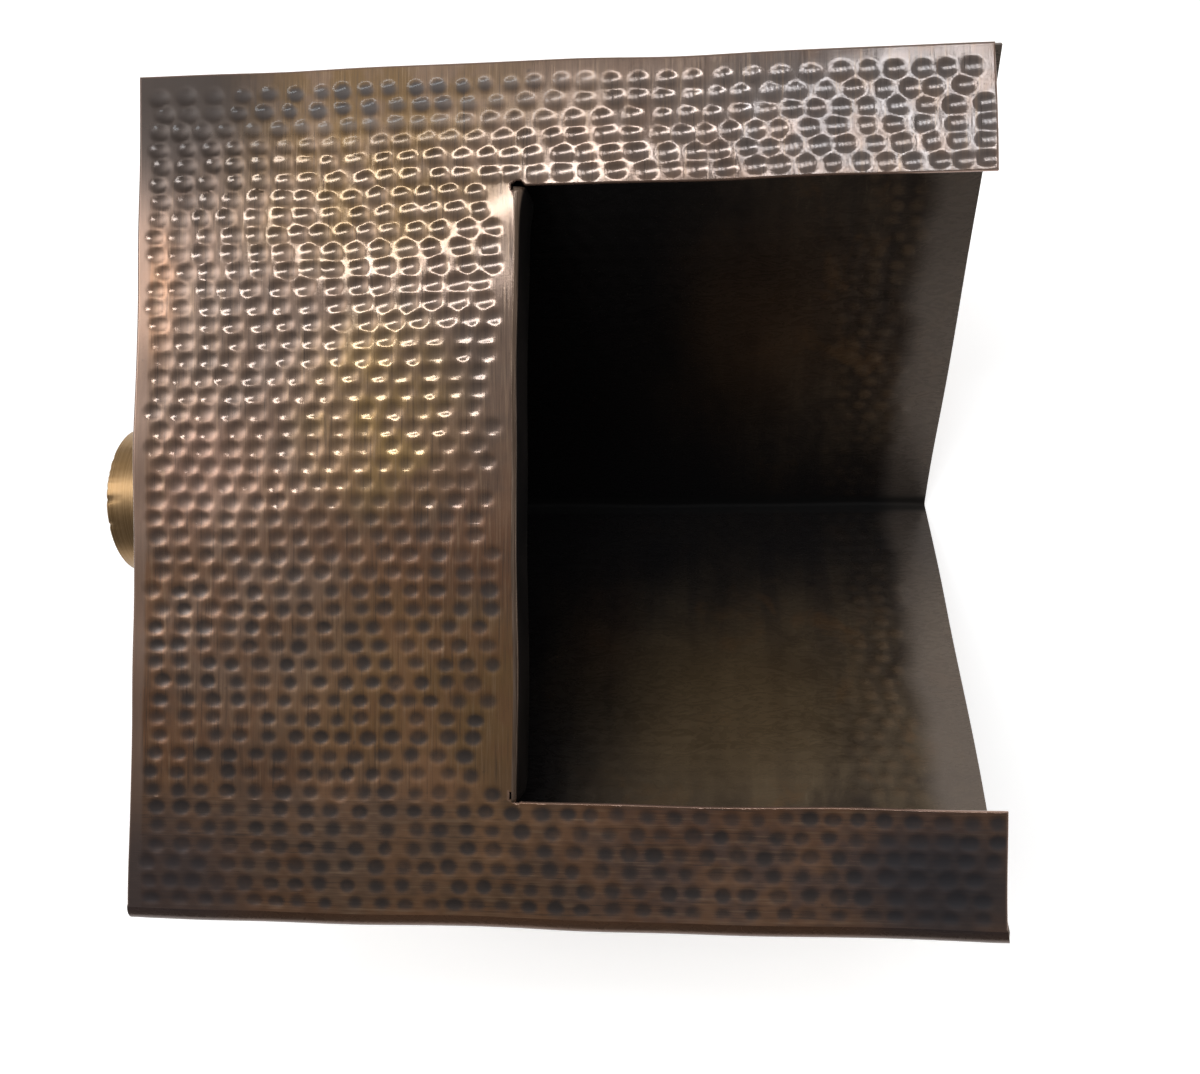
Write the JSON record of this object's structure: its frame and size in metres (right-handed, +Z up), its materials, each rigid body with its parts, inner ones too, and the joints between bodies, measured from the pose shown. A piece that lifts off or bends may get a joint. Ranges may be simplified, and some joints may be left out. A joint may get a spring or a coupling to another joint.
{
  "type": "roof scupper",
  "caption": "Hammered copper scupper: folded V trough under a flat top with an open spout cut-out, a back wall and a threaded brass inlet, set in a wall to spill water.",
  "frame": {"origin": "on the inlet's axis, at the outer face of the back wall", "axes": "+Y out of the inlet's mouth, the spout opens towards -Y, +Z up through the flat top, X across"},
  "size_m": [0.3048, 0.3332, 0.1524],
  "materials": {
    "copper_sheet": "hammered, antique patina",
    "copper_wall": "smooth, antique patina",
    "brass_fitting": "turned, satin"
  },
  "bodies": {
    "root": {"sheet_body": "copper_sheet", "back_wall": "copper_wall", "inlet_coupling": "brass_fitting"}
  },
  "joints": []
}
